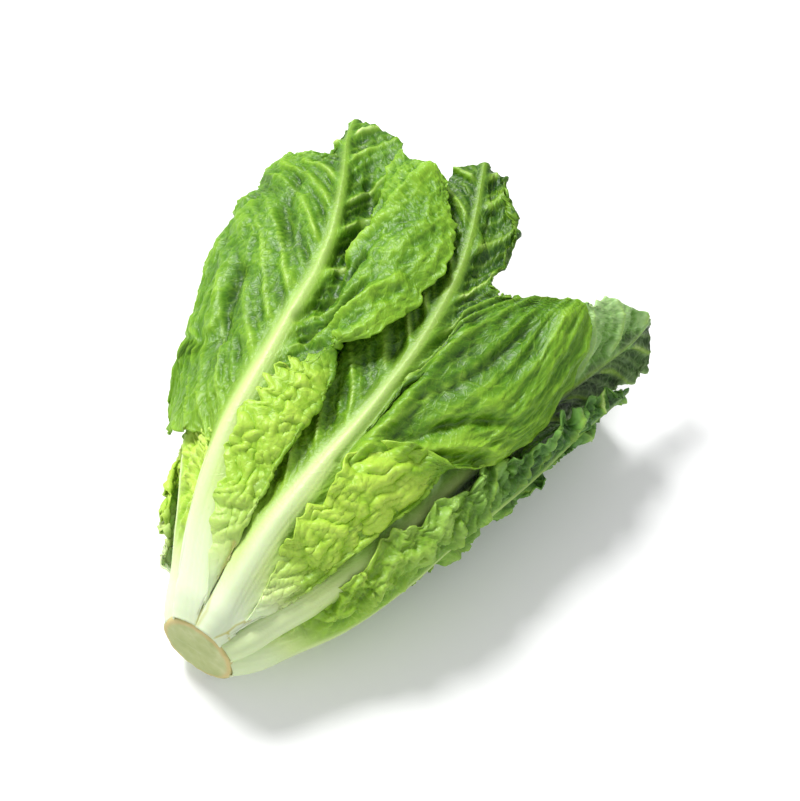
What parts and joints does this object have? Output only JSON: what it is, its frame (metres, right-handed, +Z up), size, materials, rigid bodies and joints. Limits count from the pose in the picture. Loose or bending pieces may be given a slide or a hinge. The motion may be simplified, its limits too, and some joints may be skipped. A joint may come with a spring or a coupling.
{
  "type": "romaine lettuce head",
  "caption": "A whole head of romaine lettuce lying on its side: a pale cut stem, thick white ribs and long crinkled green leaves wrapped round a dense yellow heart.",
  "frame": {"origin": "On the surface that the head rests on, under the middle of its outline, so the lowest face is at Z = 0", "axes": "+Y runs along the head from the cut stem to the leaf tips, +Z is up, and +X is to the right when looking along +Y"},
  "size_m": [0.232, 0.2858, 0.097],
  "materials": {
    "leaf_green": "soft satin leaf blade, blistered, with pale ribs",
    "leaf_pale": "satin yellow-green inner and far leaf blade",
    "leaf_dark": "satin dark green leaf with a fine pale net of veins",
    "heart_yellow": "satin pale yellow young leaves",
    "cut_stem": "moist matt cut stem with a tan rim"
  },
  "bodies": {
    "root": {"stem_core": "cut_stem", "leaf_left": "leaf_green", "leaf_middle": "leaf_green", "leaf_right": "leaf_dark", "leaf_lower_right": "leaf_green", "leaf_far_left": "leaf_pale", "leaf_under_left": "leaf_green", "leaf_under_middle": "leaf_green", "leaf_under_right": "leaf_green", "leaf_inner_left": "leaf_pale", "leaf_inner_right": "leaf_pale", "leaf_inner_under": "leaf_pale", "heart": "heart_yellow"}
  },
  "joints": []
}
